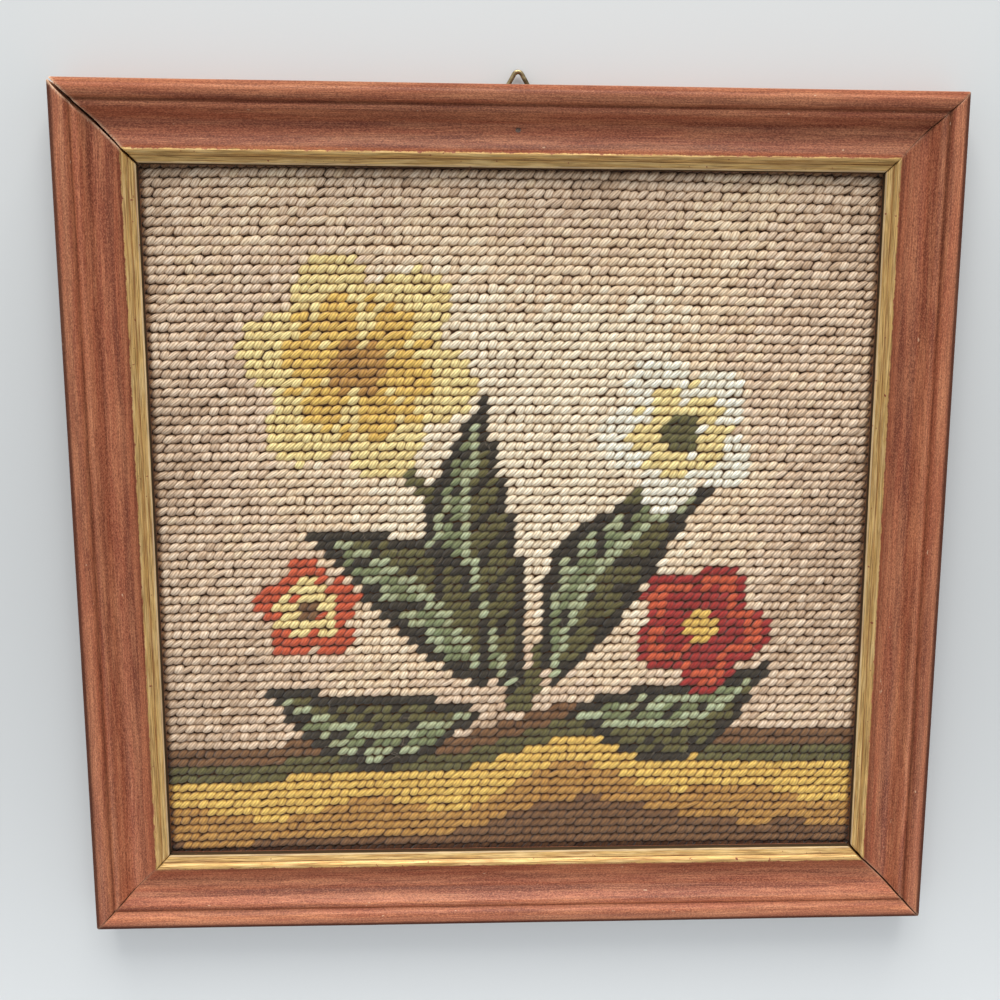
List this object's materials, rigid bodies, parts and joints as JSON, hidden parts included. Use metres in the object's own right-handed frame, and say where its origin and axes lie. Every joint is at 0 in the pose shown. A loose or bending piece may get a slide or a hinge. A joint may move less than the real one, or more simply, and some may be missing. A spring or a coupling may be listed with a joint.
{
  "type": "framed needlepoint picture with its wooden frame",
  "caption": "Nearly square needlepoint picture in a mitred stained-wood moulding with a gilt sight edge, a backing board and a wire hanging loop.",
  "frame": {"origin": "on the back's plane, under the middle of the whole footprint with the hanging loop counted", "axes": "+Z out of the picture's face, +Y towards the picture's top, +X to the viewer's right; the picture lies on its back"},
  "size_m": [0.3, 0.2992, 0.0162],
  "materials": {
    "frame_wood": "reddish-brown stain, worn semi-matte, with a dull gold painted sight edge",
    "needlepoint_wool": "plied tapestry wool in slanted stitches on canvas, matte",
    "backing_fibreboard": "plain pressed fibreboard, matte",
    "hanger_brass": "aged and darkened",
    "screw_steel": "dulled"
  },
  "bodies": {
    "root": {"rail_bottom": "frame_wood", "rail_right": "frame_wood", "rail_top": "frame_wood", "rail_left": "frame_wood", "needlepoint": "needlepoint_wool", "backing_board": "backing_fibreboard", "hanger_loop": "hanger_brass", "hanger_strap": "hanger_brass", "hanger_screw": "screw_steel"}
  },
  "joints": []
}
